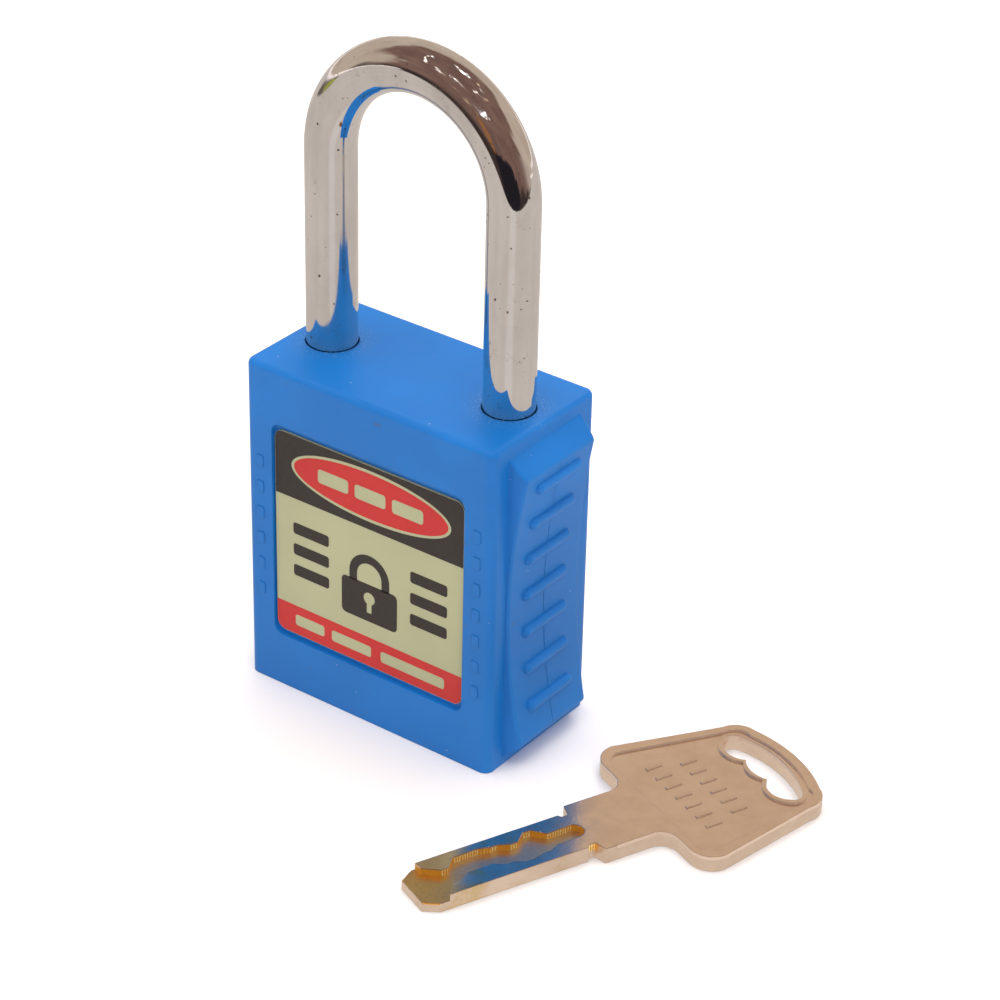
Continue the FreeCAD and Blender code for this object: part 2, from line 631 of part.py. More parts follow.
def make_plug():
    body = new_body("plug")
    barrel = new_sketch(body, "XY_Plane", offset="plug_face")
    add_circle(barrel, "0", "0", "plug_radius")
    pad(body, barrel, "housing_top + running_gap - plug_face")
    flange = new_sketch(body, "XY_Plane", offset="plug_face")
    add_circle(flange, "0", "0", "flange_radius")
    pad(body, flange, "flange_top - plug_face")
    neck = new_sketch(body, "XY_Plane", offset="housing_top")
    add_circle(neck, "0", "0", "plug_neck_radius")
    pad(body, neck, "cam_low - stack_gap - housing_top")
    tang = new_sketch(body, "XY_Plane", offset="housing_top")
    add_rectangle(tang, "-tang_half_length", "-tang_half_width", "tang_half_length", "tang_half_width")
    pad(body, tang, "tang_top - housing_top")

    keyway = new_sketch(body, "XY_Plane")
    add_rectangle(keyway, "-keyway_half_width", "-keyway_half_thick", "keyway_half_width",
                  "keyway_half_thick")
    pocket(body, keyway, "plug_face + keyway_depth", forward=True)

    slot = new_sketch(body, "XY_Plane", offset="plug_face + wafer_first - wafer_thick / 2 - running_gap")
    add_rectangle(slot, "-slot_half_width", "-wafer_outer - running_gap", "slot_half_width",
                  "-keyway_half_thick + fit_gap")
    slot_cut = pocket(body, slot, "wafer_thick + 2 * running_gap", forward=True)
    pattern_up(body, slot_cut, "wafer_pitch", len(KEY_CUTS))

    sidebar_slot = new_sketch(body, "XY_Plane", offset="plug_face + sidebar_low - sidebar_end_gap")
    add_rectangle(sidebar_slot, "-sidebar_half_width - running_gap", "-plug_radius - 1",
                  "sidebar_half_width + running_gap", "-sidebar_inner + running_gap")
    pocket(body, sidebar_slot, SIDEBAR_LENGTH + " + 2 * sidebar_end_gap", forward=True)


def make_sidebar():
    """Bar that drops into the notches of all wafers when the right key lines them up."""
    body = new_body("sidebar")
    sketch = new_sketch(body, "XY_Plane", offset="plug_face + sidebar_low")
    bevel = "-sidebar_outer + sidebar_bevel"
    add_outline(sketch, [
        ("-sidebar_half_width", "-sidebar_inner"), ("-sidebar_half_width", bevel),
        ("-sidebar_nose_half", "-sidebar_outer"), ("sidebar_nose_half", "-sidebar_outer"),
        ("sidebar_half_width", bevel), ("sidebar_half_width", "-sidebar_inner")])
    pad(body, sketch, SIDEBAR_LENGTH)


def make_wafer(index, code):
    """Sliding plate with a finger that rides in the key's track and a notch for the sidebar."""
    body = new_body(f"wafer_{index + 1}")
    middle = f"plug_face + wafer_first + {index} * wafer_pitch"
    sketch = new_sketch(body, "XY_Plane", offset=f"{middle} - wafer_thick / 2")
    notch = "sidebar_half_width + fit_gap"
    notch_floor = "-sidebar_inner + fit_gap"
    inner = "-keyway_half_thick - running_gap"
    finger_end = "-keyway_half_thick + finger_reach"
    left, right = f"{code} - finger_half_width", f"{code} + finger_half_width"
    add_outline(sketch, [
        ("-wafer_half_width", "-wafer_outer"), (f"-({notch})", "-wafer_outer"),
        (f"-({notch})", notch_floor), (notch, notch_floor),
        (notch, "-wafer_outer"), ("wafer_half_width", "-wafer_outer"), ("wafer_half_width", inner),
        (right, inner), (right, finger_end), (left, finger_end), (left, inner), ("-wafer_half_width", inner)])
    pad(body, sketch, "wafer_thick")


def make_plug_clip():
    """Open ring in the plug's groove, above the housing."""
    body = new_body("plug_clip")
    sketch = new_sketch(body, "XY_Plane", offset="housing_top + 2 * stack_gap")
    add_circle(sketch, "0", "0", "cam_room_radius - clip_room")
    add_circle(sketch, "0", "0", "plug_neck_radius + seat_fit")
    pad(body, sketch, "clip_thick")
    opening = new_sketch(body, "XY_Plane", offset="housing_top")
    add_rectangle(opening, "-clip_mouth_half", "0", "clip_mouth_half", "cam_room_radius")
    pocket(body, opening, "clip_thick + 1", forward=True)


def make_cam():
    """Disc keyed on the plug's tang, with a crank pin that works the bolt."""
    body = new_body("cam")
    disc = new_sketch(body, "XY_Plane", offset="cam_low")
    add_circle(disc, "0", "0", "cam_radius")
    add_rectangle(disc, "-tang_half_length - seat_fit", "-tang_half_width - seat_fit",
                  "tang_half_length + seat_fit", "tang_half_width + seat_fit")
    pad(body, disc, "cam_high - cam_low")
    pin = new_sketch(body, "XY_Plane", offset="cam_high - cam_pin_root")
    add_circle(pin, "crank * cos(crank_start)", "crank * sin(crank_start)", "cam_pin_radius")
    pad(body, pin, "bolt_high - cam_high + cam_pin_root - fit_gap")


# ---------------------------------------------------------------- bolt and shackle

def make_locking_bolt():
    body = new_body("locking_bolt")
    plate = new_sketch(body, "XY_Plane", offset="bolt_low")
    add_outline(plate, [
        ("bolt_back", "-bolt_yoke_half"), ("bolt_shoulder", "-bolt_yoke_half"),
        ("bolt_shoulder", "-bolt_nose_half"), ("bolt_tip - bolt_bevel", "-bolt_nose_half"),
        ("bolt_tip", "-bolt_nose_half + bolt_bevel"), ("bolt_tip", "bolt_nose_half - bolt_bevel"),
        ("bolt_tip - bolt_bevel", "bolt_nose_half"), ("bolt_shoulder", "bolt_nose_half"),
        ("bolt_shoulder", "bolt_yoke_half"), ("bolt_back", "bolt_yoke_half")])
    pad(body, plate, "bolt_high - bolt_low")
    yoke = new_sketch(body, "XY_Plane", offset="bolt_low")
    half = "cam_pin_radius + yoke_slack"
    add_rectangle(yoke, f"crank * cos(crank_start) - ({half})", "yoke_inner",
                  f"crank * cos(crank_start) + {half}", f"crank + {half}")
    pocket(body, yoke, "bolt_high - bolt_low", forward=True)


def make_shackle():
    body = new_body("shackle")
    for place, low in (("-leg_x", "heel_end"), ("leg_x", "toe_end")):
        leg = new_sketch(body, "XY_Plane", offset="bow_z")
        add_circle(leg, place, "0", "rod_radius")
        pad(body, leg, f"bow_z - {low}", backward=True)
        if place == "-leg_x":
            bow = new_sketch(body, "XY_Plane", offset="bow_z")
            add_circle(bow, "leg_x", "0", "rod_radius")
            revolve(body, bow, "180", backward=True)
    ends = (number("toe_end"), number("heel_end"))
    dress(body, "Chamfer", "leg_bevel", lambda edge: any(level_at(edge, end) for end in ends))
    notch = new_sketch(body, "XZ_Plane")
    inner_side = "leg_x - rod_radius"
    add_rectangle(notch, f"{inner_side} - 1", "notch_low", f"{inner_side} + notch_depth", "notch_high")
    pocket(body, notch, "rod_radius * 2 + 2", both_ways=True)
    neck = new_sketch(body, "XZ_Plane", shift="-leg_x")
    add_rectangle(neck, "heel_neck_radius", "heel_neck_low", "rod_radius + 0.5", "heel_neck_high")
    revolve(body, neck, "360", kind="Groove")


def make_coil(label, radius, wire, length, turns):
    """Compression spring that stands on its own origin, along its own Z."""
    body = new_body(label)
    section = new_sketch(body, "XZ_Plane")
    add_circle(section, radius, wire, wire)
    coil = body.newObject("PartDesign::AdditiveHelix", f"{label}_coil")
    coil.Profile = section
    coil.ReferenceAxis = (section, ["V_Axis"])
    coil.Mode = "height-turns-angle"
    bind(coil, "Height", f"({length}) - 2 * ({wire})")
    coil.Turns = turns
    coil.Angle = 0
    return body


def make_springs():
    spring = make_coil("shackle_spring", "spring_radius", "spring_wire",
                       "heel_end - spring_seat - 2 * stack_gap", SHACKLE_SPRING_TURNS)
    bind(spring, "Placement.Base.x", "-leg_x")
    bind(spring, "Placement.Base.z", "spring_seat + stack_gap")
    for index in range(len(KEY_CUTS)):
        coil = make_coil(f"wafer_spring_{index + 1}", "wafer_spring_radius", "wafer_spring_wire",
                         "slot_half_width - wafer_half_width - 2 * wafer_spring_gap", WAFER_SPRING_TURNS)
        coil.Placement.Rotation = FreeCAD.Rotation(Vector(0, 1, 0), 90)
        bind(coil, "Placement.Base.x", "-slot_half_width + wafer_spring_gap")
        bind(coil, "Placement.Base.y", "-(wafer_outer + keyway_half_thick) / 2")
        bind(coil, "Placement.Base.z", f"plug_face + wafer_first + {index} * wafer_pitch")


# ---------------------------------------------------------------- key

def both_sides(side, closing=()):
    """Outline symmetric about the first axis, from the corners of one side taken tip to head."""
    out = [(corner[0], f"-({corner[1]})", *corner[2:]) for corner in side]
    back = []
    for index in range(len(side) - 1, -1, -1):
        arc = side[index - 1][2:] if index else closing
        back.append((*side[index][:2], *arc))
    return out + back


def track_outline():
    """Snake between the two walls of KEY_CUTS: round at the shoulder, open across the tip."""
    left = [("track_start", "-track_half_width")]
    right = [("track_start", "track_half_width")]
    for index, (left_cut, right_cut) in enumerate(KEY_CUTS):
        station = f"-wafer_first - {index} * wafer_pitch"
        for end in (f"{station} + track_flat", f"{station} - track_flat"):
            left.append((end, -right_cut))
            right.append((end, left_cut))
    past_tip, past_side = "-key_reach - 1", "key_half_width + 1"
    left += [("-key_reach + track_mouth", f"-({past_side})"), (past_tip, f"-({past_side})")]
    right += [("-key_reach + track_mouth + 0.2", "2 * track_half_width"),
              ("-key_reach + track_mouth", past_side), (past_tip, past_side)]
    return left + right[::-1][:-1] + [(*right[0], "-(track_half_width + 0.05)")]


def make_key():
    """Flat key on its side. Its own X runs from tip to head and its Y across the blade."""
    body = new_body("key")
    outline = new_sketch(body, "XY_Plane")
    add_outline(outline, both_sides([
        ("-key_reach", "2.35"), ("-key_reach + 1.9", "key_half_width"), ("-0.2", "key_half_width"),
        ("0.1", "key_half_width - 0.45"), ("0.9", "key_half_width - 0.45"), ("1.4", "4.8"),
        ("8", "4.8", "-2.3"), ("10", "7"), ("10", "9.55", "3"), ("13", "12.55"),
        ("27.2", "9.5", "2.9"), ("30.3", "7", "19.5")]))
    pad(body, outline, "key_thick")
    slot = new_sketch(body, "XY_Plane")
    add_outline(slot, both_sides([
        ("25.8", "2.3", "2.95"), ("25.9", "7.1", "1.3"), ("27.9", "6.9", "15.7")], closing=("4.1",)))
    pocket(body, slot, "key_thick", forward=True)

    panel = both_sides([("11", "8.6", "2"), ("13", "11.1"), ("26.6", "8.5", "2"), ("29.2", "6.3", "18.3")])
    lip = both_sides([
        ("25.3", "2.1", "3.56"), ("25.4", "7.6", "1.9"), ("28.2", "7.3", "16.2")], closing=("3.3",))
    for height in ("0", "key_thick"):
        face = new_sketch(body, "XY_Plane", offset=height)
        add_outline(face, panel)
        add_outline(face, lip)
        pocket(body, face, "key_relief", forward=height == "0")
    marks = new_sketch(body, "XY_Plane", offset="key_thick - key_relief")
    for along, count in MARK_ROWS:
        for index in range(count):
            across = f"{index - (count - 1) / 2} * mark_pitch"
            add_rectangle(marks, f"{along} - mark_half_length", f"{across} - mark_half_width",
                          f"{along} + mark_half_length", f"{across} + mark_half_width")
    pad(body, marks, "mark_rise")
    track = new_sketch(body, "XY_Plane", offset="key_thick")
    add_outline(track, track_outline())
    pocket(body, track, "key_thick - key_floor")

    bind(body, "Placement.Base.x", "key_x")
    bind(body, "Placement.Base.y", "key_y")
    bind(body, "Placement.Rotation.Angle", "key_angle")


# ---------------------------------------------------------------- the padlock

def build():
    fill_sheet()
    make_body_shell()
    make_base_cover()
    make_round_pin("cover_pin", "leg_x", "cover_pin_z", "pin_radius", "body_depth / 2 - recess_depth - 0.05")
    make_label("label_front", 1)
    make_label("label_back", -1)
    make_core_block()
    make_bolt_plate()
    make_round_pin("heel_pin", "heel_pin_x", "heel_pin_z", "heel_pin_radius", "cavity_half_depth - fit_gap")
    make_cylinder_housing()
    make_plug()
    make_sidebar()
    for index, (left_cut, right_cut) in enumerate(KEY_CUTS):
        make_wafer(index, (left_cut - right_cut) / 2)
    make_plug_clip()
    make_cam()
    make_locking_bolt()
    make_shackle()
    make_springs()
    make_key()


def check_model():
    """Stop if any object failed to build."""
    doc.recompute()
    for item in doc.Objects:
        if "Invalid" in item.State or "Error" in item.State:
            raise ValueError(f"{item.Name} failed: {item.State}")
    for item in parts:
        if item.Shape.isNull() or not item.Shape.isValid() or not item.Shape.Solids:
            raise ValueError(f"{item.Label} is not a valid solid")


def export():
    os.makedirs("parts", exist_ok=True)
    for item in parts:
        item.Shape.exportStep(f"parts/{item.Label}.step")
        print(f"{item.Label}: {item.Shape.Volume:.2f} mm3, {len(item.Shape.Faces)} faces")


build()
check_model()
export()
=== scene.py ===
import json
import math

import bmesh
import bpy
from mathutils import Matrix, Vector


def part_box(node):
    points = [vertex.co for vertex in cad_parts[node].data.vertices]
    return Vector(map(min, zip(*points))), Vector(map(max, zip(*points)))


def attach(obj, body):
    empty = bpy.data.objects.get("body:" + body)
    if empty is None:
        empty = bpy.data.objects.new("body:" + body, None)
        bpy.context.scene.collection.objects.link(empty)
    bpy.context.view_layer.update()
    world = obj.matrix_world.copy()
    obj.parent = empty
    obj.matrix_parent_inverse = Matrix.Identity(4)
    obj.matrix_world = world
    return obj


# Looks of the safety padlock and its key, in metres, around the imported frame.
# +X is to the toe of the shackle, -Y out of the front label, +Z up.

MM = 0.001

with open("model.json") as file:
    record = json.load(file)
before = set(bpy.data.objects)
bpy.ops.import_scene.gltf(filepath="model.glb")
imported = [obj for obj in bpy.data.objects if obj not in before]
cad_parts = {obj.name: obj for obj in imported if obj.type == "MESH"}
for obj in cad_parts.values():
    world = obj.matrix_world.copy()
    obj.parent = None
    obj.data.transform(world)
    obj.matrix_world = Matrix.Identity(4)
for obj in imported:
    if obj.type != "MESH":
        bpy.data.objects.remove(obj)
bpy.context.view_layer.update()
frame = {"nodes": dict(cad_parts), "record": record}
scene = bpy.context.scene


# ---------------------------------------------------------------- node helpers

class Nodes:
    """Short hand for building the node tree of a material or a world."""

    def __init__(self, name, store=None):
        kept_in = bpy.data.materials if store is None else store
        self.material = kept_in.new(name)
        self.material.use_nodes = True
        self.tree = self.material.node_tree
        self.bsdf = self.tree.nodes.get("Principled BSDF")

    def add(self, kind):
        return self.tree.nodes.new(kind)

    def link(self, source, target):
        self.tree.links.new(source, target)

    def place(self):
        """Position on the object at rest."""
        return self.add("ShaderNodeTexCoord").outputs["Object"]

    def facing(self):
        """Direction in which the surface faces."""
        return self.add("ShaderNodeNewGeometry").outputs["Normal"]

    def stretched(self, scale, vector=None):
        """A vector, or else the position, scaled along each of its directions."""
        mapping = self.add("ShaderNodeMapping")
        mapping.inputs["Scale"].default_value = scale
        self.link(vector or self.place(), mapping.inputs["Vector"])
        return mapping.outputs["Vector"]

    def split(self, vector):
        """The three parts of a vector."""
        node = self.add("ShaderNodeSeparateXYZ")
        self.link(vector, node.inputs["Vector"])
        return node.outputs["X"], node.outputs["Y"], node.outputs["Z"]

    def noise(self, scale, detail=3.0, rough=0.5, vector=None):
        node = self.add("ShaderNodeTexNoise")
        node.inputs["Scale"].default_value = scale
        node.inputs["Detail"].default_value = detail
        node.inputs["Roughness"].default_value = rough
        self.link(vector or self.place(), node.inputs["Vector"])
        return node.outputs["Fac"]

    def span(self, value, low, high, to_low=0.0, to_high=1.0):
        """Map a value from one range to another, smoothly and clamped."""
        node = self.add("ShaderNodeMapRange")
        node.interpolation_type = "SMOOTHSTEP"
        ends = {"From Min": low, "From Max": high, "To Min": to_low, "To Max": to_high}
        for name, number in ends.items():
            node.inputs[name].default_value = number
        self.link(value, node.inputs["Value"])
        return node.outputs["Result"]

    def math(self, operation, first, second=None):
        node = self.add("ShaderNodeMath")
        node.operation = operation
        for socket, value in zip(node.inputs, (first, second)):
            if value is None:
                continue
            if isinstance(value, (int, float)):
                socket.default_value = value
            else:
                self.link(value, socket)
        return node.outputs["Value"]

    def times(self, first, *others):
        """Product of sockets and numbers."""
        for other in others:
            first = self.math("MULTIPLY", first, other)
        return first

    def mix(self, factor, first, second):
        """Colour between two colours or sockets."""
        node = self.add("ShaderNodeMix")
        node.data_type = "RGBA"
        for name, value in (("A", first), ("B", second)):
            socket = next(item for item in node.inputs if item.name == name and item.type == "RGBA")
            if isinstance(value, tuple):
                socket.default_value = (*value, 1.0)
            else:
                self.link(value, socket)
        if isinstance(factor, (int, float)):
            node.inputs[0].default_value = factor
        else:
            self.link(factor, node.inputs[0])
        return next(item for item in node.outputs if item.type == "RGBA")

    def bump(self, height, strength, distance, normal=None):
        node = self.add("ShaderNodeBump")
        node.inputs["Strength"].default_value = strength
        node.inputs["Distance"].default_value = distance
        self.link(height, node.inputs["Height"])
        if normal:
            self.link(normal, node.inputs["Normal"])
        return node.outputs["Normal"]

    def bevel(self, radius):
        """Normal softened round sharp edges."""
        node = self.add("ShaderNodeBevel")
        node.samples = 6
        node.inputs["Radius"].default_value = radius
        return node.outputs["Normal"]

    def set(self, name, value):
        socket = self.bsdf.inputs[name]
        if isinstance(value, tuple):
            socket.default_value = (*value, 1.0)
        elif isinstance(value, (int, float)):
            socket.default_value = value
        else:
            self.link(value, socket)


def compass(azimuth, elevation):
    """Direction from its angles in degrees, with +X at azimuth nought."""
    flat = math.cos(math.radians(elevation))
    return Vector((flat * math.cos(math.radians(azimuth)), flat * math.sin(math.radians(azimuth)),
                   math.sin(math.radians(elevation))))


def toward(n, direction, axis):
    """How nearly a direction lies along an axis, from -1 to 1."""
    dot = n.add("ShaderNodeVectorMath")
    dot.operation = "DOT_PRODUCT"
    dot.inputs[1].default_value = axis
    n.link(direction, dot.inputs[0])
    return dot.outputs["Value"]


# ---------------------------------------------------------------- places and colours

_, body_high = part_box("body_shell")
label_low, label_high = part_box("label_front")
key_low, key_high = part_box("key")
LEG_X = 13.4 * MM

# The key lies with its shoulder here, its head away at this angle from +X.
KEY_SHOULDER = Vector((35.26 * MM, -14.96 * MM, 0))
KEY_ANGLE = math.radians(67)
# The milled track, from the key's shoulder: its ends, half the width it keeps inside, and its depths.
TRACK_TIP, TRACK_END = -21.8 * MM, 1.75 * MM
TRACK_HALF = 3.5 * MM
TRACK_UNDER_TOP, TRACK_OVER_BASE = 0.12 * MM, 1.0 * MM
# Raised rim and marks of the head: how far they reach down, and where they start.
LIP_DEPTH, LIP_START = 0.45 * MM, 3 * MM

NYLON, NYLON_DEEP = (0.005, 0.182, 0.595), (0.004, 0.160, 0.535)
NYLON_RUBBED, NYLON_STAIN = (0.14, 0.36, 0.70), (0.09, 0.075, 0.09)
DUST, CRUMB = (0.40, 0.60, 0.82), (0.45, 0.60, 0.80)
CHROME, CHROME_DULL = (0.76, 0.725, 0.70), (0.66, 0.62, 0.59)
CHROME_GRIME, CHROME_PIT = (0.36, 0.31, 0.28), (0.20, 0.15, 0.12)
KEY_PLATE, KEY_PLATE_DULL = (0.92, 0.73, 0.58), (0.84, 0.65, 0.50)
KEY_WORN, KEY_SPECK, KEY_LIP = (0.80, 0.58, 0.28), (0.42, 0.32, 0.23), (0.75, 0.58, 0.45)
TRACK_FLOOR, TRACK_FLOOR_TIP = (0.78, 0.70, 0.52), (0.98, 0.74, 0.30)
# The track's glint colour is a painted highlight on its walls.
TRACK_SPECK, TRACK_WALL, TRACK_PAINTED_GLINT = (0.50, 0.40, 0.24), (0.80, 0.37, 0.035), (1.0, 0.88, 0.42)
LABEL_PALE, LABEL_DARK, LABEL_RED = (0.455, 0.475, 0.285), (0.036, 0.029, 0.026), (0.585, 0.024, 0.022)
LABEL_SPECK = (0.30, 0.29, 0.25)


# ---------------------------------------------------------------- materials

def nylon_material():
    """Satin moulded nylon: fine grain, faint flow clouds, rubs, dust round the legs and a few stains."""
    n = Nodes("nylon")
    clouds = n.noise(70, 3)
    base = n.mix(n.span(clouds, 0.35, 0.7), NYLON_DEEP, NYLON)
    rubs = n.noise(420, 5, 0.75, n.stretched((1.0, 1.0, 0.4)))
    base = n.mix(n.span(rubs, 0.68, 0.8, 0.0, 0.22), base, NYLON_RUBBED)
    stains = n.noise(330, 2, 0.5)
    base = n.mix(n.span(stains, 0.74, 0.79, 0.0, 0.5), base, NYLON_STAIN)
    dust = n.times(n.span(n.noise(3800, 4, 0.7), 0.50, 0.80), dust_zone(n))
    base = n.mix(dust, base, DUST)
    crumbs = n.span(n.noise(1500, 1, 0.4), 0.80, 0.84, 0.0, 0.6)
    base = n.mix(crumbs, base, CRUMB)
    n.set("Base Color", base)
    n.set("Roughness", n.span(clouds, 0.3, 0.7, 0.40, 0.50))
    grain = n.noise(4200, 2, 0.6)
    sink = n.noise(55, 2, 0.4)
    soft = n.bevel(0.22 * MM)
    n.set("Normal", n.bump(grain, 0.16, 0.04 * MM, n.bump(sink, 0.10, 0.5 * MM, soft)))
    n.set("Specular IOR Level", 0.36)
    n.set("Subsurface Weight", 0.04)
    n.set("Subsurface Scale", 0.5 * MM)
    return n.material


def dust_zone(n):
    """How dusty a place is: most close round the two legs on the body's top, and nought elsewhere."""
    x, y, z = n.split(n.place())
    from_leg = n.math("SUBTRACT", n.math("ABSOLUTE", x), LEG_X)
    flat = n.math("SQRT", n.math("ADD", n.math("POWER", from_leg, 2), n.math("POWER", y, 2)))
    near = n.span(flat, 3.2 * MM, 6.5 * MM, 0.75, 0.0)
    return n.times(near, n.span(z, body_high.z - 1 * MM, body_high.z - 0.2 * MM))


def specks(n, scale, radius, share):
    """One in small ragged dots at a share of scattered points, nought elsewhere."""
    cells = n.add("ShaderNodeTexVoronoi")
    cells.inputs["Scale"].default_value = scale
    n.link(n.place(), cells.inputs["Vector"])
    wobble = n.span(n.noise(scale * 4, 2), 0.3, 0.7, -0.05, 0.05)
    ragged = n.math("ADD", cells.outputs["Distance"], wobble)
    dots = n.span(ragged, radius * 0.6, radius, 1.0, 0.0)
    return n.times(dots, n.math("LESS_THAN", n.split(cells.outputs["Color"])[0], share))


def chrome_material():
    """Bright chrome plate with smudges, grime and tiny pits."""
    n = Nodes("shackle_chrome")
    smudge = n.noise(150, 4, 0.6, n.stretched((1.0, 1.0, 0.45)))
    pit = n.math("MAXIMUM", specks(n, 620, 0.13, 0.30), specks(n, 1500, 0.16, 0.12))
    film = n.span(smudge, 0.42, 0.75)
    grime = n.span(n.noise(260, 6, 0.8), 0.59, 0.72, 0.0, 0.5)
    plate = n.mix(grime, n.mix(film, CHROME, CHROME_DULL), CHROME_GRIME)
    n.set("Base Color", n.mix(pit, plate, CHROME_PIT))
    n.set("Metallic", 1.0)
    haze = n.span(smudge, 0.45, 0.8, 0.04, 0.17)
    n.set("Roughness", n.math("ADD", haze, n.times(n.math("ADD", pit, grime), 0.35)))
    ripple = n.noise(120, 2, 0.5, n.stretched((1.0, 1.0, 0.3)))
    fine = n.noise(1500, 3, 0.6)
    n.set("Normal", n.bump(fine, 0.06, 0.02 * MM, n.bump(ripple, 0.06, 0.12 * MM)))
    return n.material


def metal_material(name, colour, dark, roughness):
    """Plain machined metal with a drawn grain."""
    n = Nodes(name)
    grain = n.noise(1600, 3, 0.6, n.stretched((1.0, 1.0, 0.06)))
    n.set("Base Color", n.mix(n.span(grain, 0.3, 0.75), colour, dark))
    n.set("Metallic", 1.0)
    n.set("Roughness", n.span(grain, 0.3, 0.7, roughness * 0.8, roughness * 1.2))
    n.set("Normal", n.bump(grain, 0.12, 0.03 * MM, n.bevel(0.12 * MM)))
    return n.material


def filled_nylon_material():
    """Dark glass-filled nylon with pale fibre flecks."""
    n = Nodes("filled_nylon")
    fleck = n.noise(1800, 3, 0.7, n.stretched((1.0, 1.0, 0.3)))
    n.set("Base Color", n.mix(n.span(fleck, 0.6, 0.78), (0.035, 0.037, 0.040), (0.12, 0.12, 0.12)))
    n.set("Roughness", n.span(fleck, 0.3, 0.7, 0.45, 0.6))
    n.set("Normal", n.bump(fleck, 0.2, 0.03 * MM, n.bevel(0.2 * MM)))
    return n.material


def key_place(n):
    """Position in the key's own frame: X from its shoulder to its head, Y across the blade, Z up."""
    turned = n.add("ShaderNodeMapping")
    turned.vector_type = "TEXTURE"
    turned.inputs["Location"].default_value = (KEY_SHOULDER.x, KEY_SHOULDER.y, 0)
    turned.inputs["Rotation"].default_value = (0, 0, KEY_ANGLE)
    n.link(n.place(), turned.inputs["Vector"])
    return turned.outputs["Vector"]


def key_material():
    """Worn nickel plate over brass; the milled track is raw brass with cutter ridges, with a painted
    highlight on the ridges of the walls that face one way.
    """
    n = Nodes("key_plate")
    own = key_place(n)
    along, _, height = n.split(own)
    facing = n.facing()
    wall = n.math("LESS_THAN", n.math("ABSOLUTE", n.split(facing)[2]), 0.5)
    raw, rim = in_track(n, own), lip(n, along, height, wall)
    cloud, fine = n.noise(240, 4, 0.6), n.noise(2600, 3, 0.7)
    ridges = cutter_ridges(n, own)

    nickel = n.mix(n.span(cloud, 0.3, 0.75), KEY_PLATE, KEY_PLATE_DULL)
    worn = n.times(n.span(cloud, 0.48, 0.66), n.span(along, -6 * MM, 0.0, 0.8, 0.0))
    nickel = n.mix(worn, nickel, KEY_WORN)
    nickel = n.mix(n.span(fine, 0.72, 0.84, 0, 0.3), nickel, KEY_SPECK)

    # Painted highlight: track walls that face across the key in one fixed direction get a bright glint
    # colour along the cutter ridges.
    across_track = toward(n, facing, compass(math.degrees(KEY_ANGLE) - 90, 0))
    lines = n.span(n.math("ADD", ridges, n.span(fine, 0.3, 0.7, -0.4, 0.4)), 0.45, 0.8)
    painted_glints = n.times(n.span(across_track, 0.93, 0.99), lines)
    from_tip = n.span(n.math("ADD", along, n.span(cloud, 0.3, 0.7, -2 * MM, 2 * MM)), -19 * MM, -13 * MM)
    cut_floor = n.mix(from_tip, TRACK_FLOOR_TIP, TRACK_FLOOR)
    cut_floor = n.mix(n.span(fine, 0.5, 0.75, 0.0, 0.5), cut_floor, TRACK_SPECK)
    brass = n.mix(wall, cut_floor, n.mix(painted_glints, TRACK_WALL, TRACK_PAINTED_GLINT))

    n.set("Base Color", n.mix(raw, n.mix(rim, nickel, KEY_LIP), brass))
    dull = n.math("MAXIMUM", n.times(raw, wall), rim)
    n.set("Metallic", n.math("SUBTRACT", 1.0, n.times(dull, 0.7)))
    n.set("Roughness", n.math("ADD", n.span(cloud, 0.3, 0.7, 0.13, 0.22), n.times(raw, 0.2)))

    sheared = n.noise(2200, 2, 0.6, n.stretched((1.0, 1.0, 0.08)))
    rolled = n.noise(1500, 4, 0.8, n.stretched((0.15, 1.0, 1.0), own))
    cut = n.times(ridges, raw, n.math("ADD", n.times(wall, 0.8), 0.2))
    surface = n.bump(sheared, 0.22, 0.03 * MM, n.bevel(0.16 * MM))
    surface = n.bump(rolled, 0.25, 0.025 * MM, surface)
    n.set("Normal", n.bump(cut, 0.6, 0.05 * MM, surface))
    return n.material


def in_track(n, own):
    """One in the key's milled track, nought elsewhere."""
    along, across, height = n.split(own)
    return n.times(n.math("LESS_THAN", n.math("ABSOLUTE", across), TRACK_HALF),
                   n.math("LESS_THAN", along, TRACK_END),
                   n.math("GREATER_THAN", along, TRACK_TIP),
                   n.math("LESS_THAN", height, key_high.z - TRACK_UNDER_TOP),
                   n.math("GREATER_THAN", height, key_low.z + TRACK_OVER_BASE))


def lip(n, along, height, wall):
    """One on the low walls of the head's raised rim and marks, nought elsewhere."""
    high = n.math("GREATER_THAN", height, key_high.z - LIP_DEPTH)
    return n.times(wall, high, n.math("GREATER_THAN", along, LIP_START))


def cutter_ridges(n, own):
    """Fine uneven waves along the key, left by the milling cutter."""
    waves = n.add("ShaderNodeTexWave")
    waves.bands_direction = "X"
    waves.inputs["Scale"].default_value = 900
    waves.inputs["Distortion"].default_value = 2.5
    n.link(own, waves.inputs["Vector"])
    return waves.outputs["Fac"]


def print_material(name, colour):
    """Ink under a thin film: almost even, with a little dust and grain."""
    n = Nodes(name)
    speck = n.noise(1400, 3, 0.6)
    fade = n.noise(60, 2, 0.5)
    darker = tuple(channel * 0.90 for channel in colour)
    tone = n.mix(n.span(fade, 0.3, 0.7), colour, darker)
    n.set("Base Color", n.mix(n.span(speck, 0.66, 0.8, 0.0, 0.25), tone, LABEL_SPECK))
    n.set("Roughness", n.span(speck, 0.3, 0.7, 0.42, 0.52))
    n.set("Specular IOR Level", 0.4)
    n.set("Normal", n.bump(n.noise(2500, 2), 0.10, 0.02 * MM, n.bump(n.noise(45, 2), 0.06, 0.3 * MM)))
    return n.material


